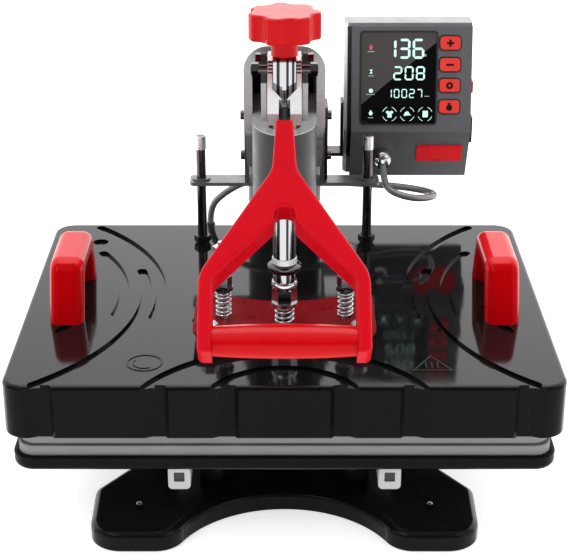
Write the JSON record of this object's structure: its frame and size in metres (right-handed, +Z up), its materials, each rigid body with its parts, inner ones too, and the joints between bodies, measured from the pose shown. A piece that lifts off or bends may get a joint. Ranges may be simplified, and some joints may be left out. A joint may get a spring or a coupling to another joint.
{
  "type": "swing-away heat press",
  "caption": "Swing-away heat press with a flat heated platen under a moulded cover, pressing handle, pressure knob, side grips and a control box on its arm.",
  "frame": {"origin": "on the underside of the base, directly below the middle of the platens", "axes": "+X to the operator's right, +Y away from the operator towards the post, +Z up"},
  "size_m": [0.403, 0.4725, 0.382],
  "materials": {
    "black_enamel": "gloss",
    "black_tray": "gloss black coat",
    "grey_shell": "satin",
    "rubber": "matt",
    "zinc_steel": "zinc plated",
    "silicone": "matt",
    "platen_aluminium": "satin",
    "insulation": "mineral wool",
    "cover_black": "semi gloss",
    "chrome": "polished",
    "spring_steel": "oiled",
    "bronze": "machined",
    "red_enamel": "gloss",
    "red_plastic": "gloss",
    "key_red": "satin",
    "black_steel": "blackened",
    "fascia_black": "satin",
    "case_grey": "satin",
    "display_glass": "clear",
    "black_moulding": "satin",
    "cable_grey": "glossy sleeve"
  },
  "bodies": {
    "base": {"base_plate": "black_enamel", "rubber_feet": "rubber", "support_pillar_front_left": "black_enamel", "support_pillar_front_right": "black_enamel", "support_pillar_rear": "black_enamel", "cross_plate_front": "zinc_steel", "cross_plate_rear": "zinc_steel", "tray_rail_left": "zinc_steel", "tray_rail_right": "zinc_steel", "lower_tray": "black_tray", "silicone_pad": "silicone", "post": "black_enamel", "flange_bolts": "zinc_steel"},
    "swing_arm": {"arm_casting": "black_enamel", "ram_bush": "bronze", "sleeve_cap": "black_enamel", "arm_shell": "grey_shell", "pivot_pin": "zinc_steel", "rod_bracket": "chrome", "controller_bracket": "black_enamel", "bracket_screws": "zinc_steel", "controller_case": "case_grey", "controller_fascia": "fascia_black", "display_glass": "display_glass", "badge_plate": "red_plastic", "cable_connector": "chrome", "power_inlet": "fascia_black", "heater_cable": "cable_grey"},
    "platen": {"cover": "cover_black", "heat_platen": "platen_aluminium", "insulation": "insulation", "cover_bolts": "zinc_steel", "pressure_plate": "red_enamel", "plate_spacers": "zinc_steel", "plate_bolts": "zinc_steel", "ram_shaft": "chrome", "ram_nut": "zinc_steel", "ram_spring": "spring_steel", "spring_studs": "zinc_steel", "side_spring_left": "spring_steel", "side_spring_right": "spring_steel", "spring_nuts": "zinc_steel", "guide_rod_left": "chrome", "guide_rod_right": "chrome", "rod_nuts": "zinc_steel", "side_handle_left": "red_plastic", "side_handle_right": "red_plastic", "cable_gland": "black_moulding"},
    "handle": {"handle_fork": "chrome", "crank_pin": "zinc_steel", "handle_shank": "black_steel", "handle_frame": "red_enamel", "handle_grip": "red_plastic"},
    "knob": {"knob": "red_plastic"},
    "button_1": {"button_1": "key_red"},
    "button_2": {"button_2": "key_red"},
    "button_3": {"button_3": "key_red"},
    "button_4": {"button_4": "key_red"},
    "rocker": {"rocker_switch": "red_plastic"}
  },
  "joints": [
    {"name": "arm_swing", "type": "hinge", "parent": "base", "child": "swing_arm", "pos_m": [0, 0.2, 0.2], "axis": [0, 0, 1], "range_deg": [0, 110]},
    {"name": "platen_lift", "type": "slide", "parent": "swing_arm", "child": "platen", "axis": [0, 0, 1], "range_m": [0, 0.0156], "deforming": ["heater_cable"]},
    {"name": "handle_lift", "type": "hinge", "parent": "swing_arm", "child": "handle", "pos_m": [0, -0.042, 0.342], "axis": [-1, 0, 0], "range_deg": [0, 55]},
    {"name": "knob_turn", "type": "hinge", "parent": "platen", "child": "knob", "pos_m": [0, -0.06, 0.372], "axis": [0, 0, 1], "continuous": true},
    {"name": "button_1_press", "type": "slide", "parent": "swing_arm", "child": "button_1", "axis": [0, 0.9804, -0.1972], "range_m": [0, 0.001], "stiffness_N_per_m": 400, "springref_m": -0.0005},
    {"name": "button_2_press", "type": "slide", "parent": "swing_arm", "child": "button_2", "axis": [0, 0.9804, -0.1972], "range_m": [0, 0.001], "stiffness_N_per_m": 400, "springref_m": -0.0005},
    {"name": "button_3_press", "type": "slide", "parent": "swing_arm", "child": "button_3", "axis": [0, 0.9804, -0.1972], "range_m": [0, 0.001], "stiffness_N_per_m": 400, "springref_m": -0.0005},
    {"name": "button_4_press", "type": "slide", "parent": "swing_arm", "child": "button_4", "axis": [0, 0.9804, -0.1972], "range_m": [0, 0.001], "stiffness_N_per_m": 400, "springref_m": -0.0005},
    {"name": "rocker_tilt", "type": "hinge", "parent": "swing_arm", "child": "rocker", "pos_m": [0.159, 0.188, 0.256], "axis": [0, 0, 1], "range_deg": [-8, 8]}
  ],
  "couplings": [
    {"joint": "handle_lift", "follows": "platen_lift", "rad_per_m": 61.5}
  ]
}
